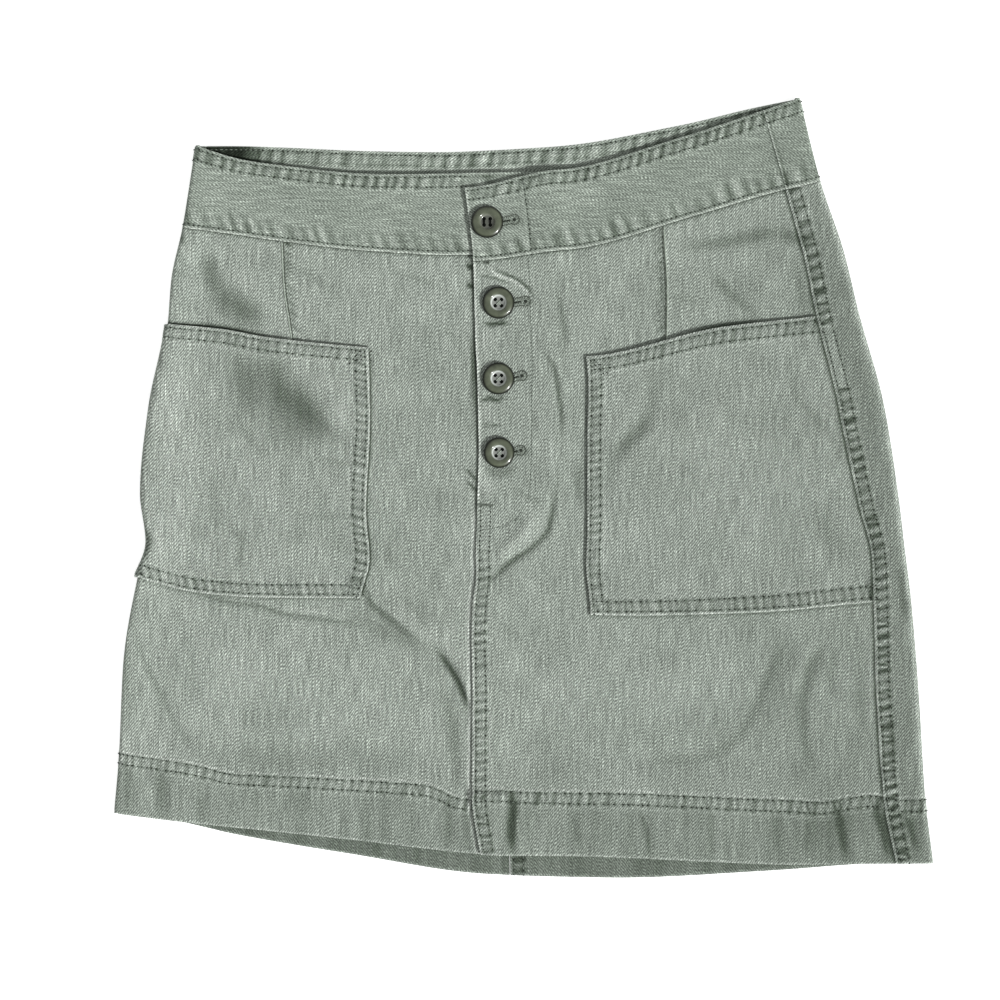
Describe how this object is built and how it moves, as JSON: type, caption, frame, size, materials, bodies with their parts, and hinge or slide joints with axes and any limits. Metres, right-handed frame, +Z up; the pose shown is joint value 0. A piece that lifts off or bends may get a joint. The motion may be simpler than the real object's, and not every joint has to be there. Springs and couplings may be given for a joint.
{
  "type": "cargo utility skirt",
  "caption": "Short A-line utility skirt in sage twill, laid flat with its front up: contour waistband, button fly, large patch pockets and a deep stitched hem.",
  "frame": {"origin": "centre of the bounding box on the plane that the skirt lies on", "axes": "+Z up out of the front of the lying skirt, +Y towards the waist, +X towards the wearer's left side, which is the viewer's right"},
  "size_m": [0.5066, 0.4822, 0.0114],
  "materials": {
    "sage_twill": "washed sage-green cotton twill with a little stretch, matt, paler on raised edges",
    "sage_band": "the same washed twill, doubled and topstitched, matt",
    "sage_pocket": "the same washed twill, matt",
    "olive_button": "turned olive plastic, polished rim and sunken middle"
  },
  "bodies": {
    "root": {"front_left": "sage_twill", "front_right": "sage_twill", "back_left": "sage_twill", "back_right": "sage_twill", "waistband_front_left": "sage_band", "waistband_front_right": "sage_band", "waistband_back": "sage_band", "pocket_left": "sage_pocket", "pocket_right": "sage_pocket", "button_1": "olive_button", "button_2": "olive_button", "button_3": "olive_button", "button_4": "olive_button"}
  },
  "joints": []
}
